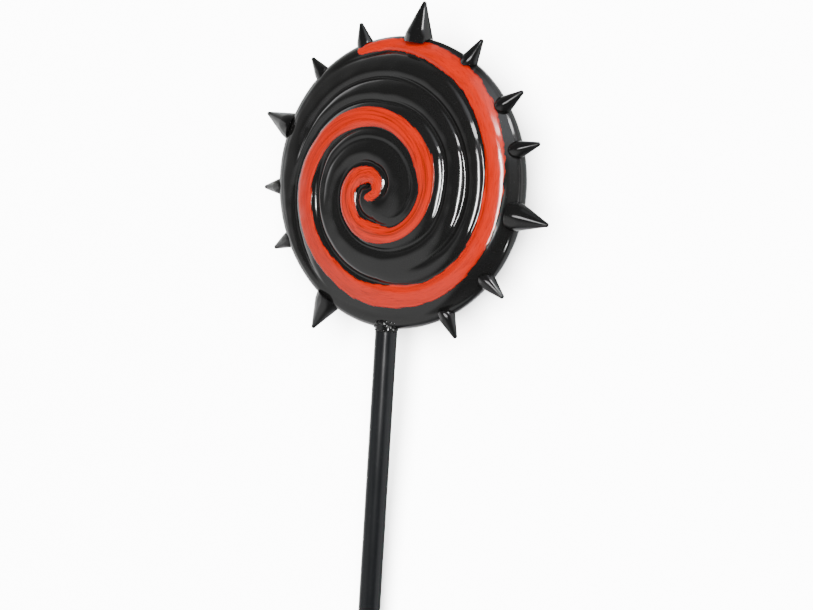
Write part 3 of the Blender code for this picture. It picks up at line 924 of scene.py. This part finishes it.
def add_softbox(name, right_degrees, up_degrees, distance, size, radiance,
                shape="RECTANGLE", gloss_only=True):
    """A flat soft light round the head, placed by its direction from the camera's axis."""
    tilted = camera_matrix().to_3x3() @ off_axis(right_degrees, up_degrees)
    centre = PLACEMENT @ Vector((0.0, 0.0, 0.0))
    data = bpy.data.lights.new(name, "AREA")
    data.shape = shape
    data.size, data.size_y = size
    data.energy = radiance * math.pi * size[0] * size[1]
    light = bpy.data.objects.new(name, data)
    place = centre + tilted @ Vector((0.0, 0.0, distance))
    light.matrix_world = Matrix.Translation(place) @ tilted.to_4x4()
    light.visible_camera = False
    light.visible_glossy = gloss_only
    light.visible_diffuse = not gloss_only
    bpy.context.scene.collection.objects.link(light)
    return light


def light_only(light, *receivers):
    """Keeps a light to some objects."""
    collection = bpy.data.collections.new(light.name + "_receivers")
    for receiver in receivers:
        collection.objects.link(receiver)
    light.light_linking.receiver_collection = collection


def light_but(light, *others):
    """Keeps a light off some objects."""
    light_only(light, *others)
    for entry in light.light_linking.receiver_collection.collection_objects:
        entry.light_linking.link_state = "EXCLUDE"


def add_floor():
    """A level pale floor, lit on its own by a broad soft sun so that it stays pale all over."""
    half = FLOOR_HALF_WIDTH
    mesh = bpy.data.meshes.new("floor")
    corners = [(-half, -half, 0.0), (half, -half, 0.0), (half, half, 0.0), (-half, half, 0.0)]
    mesh.from_pydata(corners, [], [(0, 1, 2, 3)])
    material, tree, shader = begin_material("pale_floor")
    place = add_node(tree, "ShaderNodeTexCoord").outputs["Object"]
    colour = mix_colour(tree, noise(tree, place, 3.0), *FLOOR_COLOURS)
    tree.links.new(colour, shader.inputs["Base Color"])
    shader.inputs["Roughness"].default_value = 0.9
    shader.inputs["Specular IOR Level"].default_value = 0.0
    mesh.materials.append(material)
    floor = bpy.data.objects.new("floor", mesh)
    floor.visible_glossy = False
    floor.visible_diffuse = False
    bpy.context.scene.collection.objects.link(floor)
    data = bpy.data.lights.new("floor_sun", "SUN")
    data.energy = FLOOR_RADIANCE * math.pi / FLOOR_PALENESS
    data.angle = FLOOR_SUN_WIDTH
    sun = bpy.data.objects.new("floor_sun", data)
    sun.rotation_euler = FLOOR_SUN_TURN
    bpy.context.scene.collection.objects.link(sun)
    light_only(sun, floor)


def room_lobes():
    """Soft bright patches of the room: direction from the camera, where each fades, and colour."""
    ahead = Vector((0.0, 0.0, 1.0))
    return (
        (off_axis(55, 40) @ ahead, 0.78, 0.99, (1.9, 1.95, 2.05)),
        (Vector((0.985, 0.0, 0.17)), 0.70, 0.95, (1.35, 1.35, 1.37)),
        (off_axis(-75, -38) @ ahead, 0.68, 0.96, (1.0, 1.0, 1.0)),
    )


def set_world():
    """White surroundings for the camera, an even dim room for diffuse light, and for gloss a room
    that is dim in front of the object and bright behind it."""
    world = bpy.data.worlds.new("room")
    bpy.context.scene.world = world
    world.use_nodes = True
    tree = world.node_tree
    background = tree.nodes["Background"]
    axes = camera_matrix().to_3x3()
    heading = add_node(tree, "ShaderNodeTexCoord").outputs["Generated"]

    def closeness(direction):
        """How near a ray's heading is to a direction in the camera's axes, from -1 to 1."""
        node = add_node(tree, "ShaderNodeVectorMath", {"operation": "DOT_PRODUCT"},
                        i0=heading, i1=tuple(axes @ direction))
        return node.outputs["Value"]

    facing = closeness(Vector((0.0, 0.0, 1.0)))
    dim = remap(tree, facing, -0.30, 0.30, 0.0, 1.0, True)
    colour = mix_colour(tree, dim, ROOM_BEHIND, ROOM_IN_FRONT)
    rightness = remap(tree, closeness(Vector((1.0, 0.0, 0.0))), -0.2, 0.5, 0.0, 1.0, True)
    behind = mix_colour(tree, rightness, GLOW_LEFT, GLOW_RIGHT)
    colour = mix_colour(tree, remap(tree, facing, -0.25, -0.55, 0.0, 1.0, True), colour, behind)
    for direction, low, high, lobe_colour in room_lobes():
        lobe = remap(tree, closeness(direction), low, high, 0.0, 1.0, True)
        colour = mix_colour(tree, lobe, colour, lobe_colour)
    path = add_node(tree, "ShaderNodeLightPath").outputs
    colour = mix_colour(tree, path["Is Glossy Ray"], DIFFUSE_ROOM, colour)
    pale = (FLOOR_RADIANCE, FLOOR_RADIANCE, FLOOR_RADIANCE)
    colour = mix_colour(tree, path["Is Camera Ray"], colour, pale)
    tree.links.new(colour, background.inputs["Color"])
    background.inputs["Strength"].default_value = 1.0


def light_scene():
    """A broad fill for the paint, and soft lights that show in the gloss of some pieces alone."""
    set_world()
    add_floor()
    add_softbox("fill", 0.0, 10.0, 2.6, (3.6, 3.6), 2.55, gloss_only=False)
    tube = bpy.data.objects["stick_tube"]
    cones = [thing for thing in bpy.data.objects if "_cone_" in thing.name]
    strip = add_softbox("strip", 17.5, -10.0, 3.0, (0.38, 3.3), 85.0, shape="ELLIPSE")
    light_but(strip, tube, *cones)
    halo = add_softbox("strip_halo", 17.5, -8.0, 3.1, (1.5, 3.5), 1.6, shape="ELLIPSE")
    light_but(halo, tube, *cones)
    add_softbox("patch", 29.0, 32.0, 3.0, (0.60, 0.42), 28.0)
    accent = add_softbox("stick_accent", -6.0, 0.0, 1.2, (0.15, 0.40), 250.0)
    light_only(accent, tube)
    accent = add_softbox("cone_accent", -15.0, 0.0, 1.2, (0.80, 0.34), 10.0, shape="ELLIPSE")
    light_only(accent, *[cone for cone in cones if cone.name != "large_cone_1"])
    glow = add_softbox("cone_glow", -105.0, 0.0, 1.6, (1.8, 1.8), 1.2)
    light_only(glow, *cones)


build_lollipop()
add_camera()
light_scene()
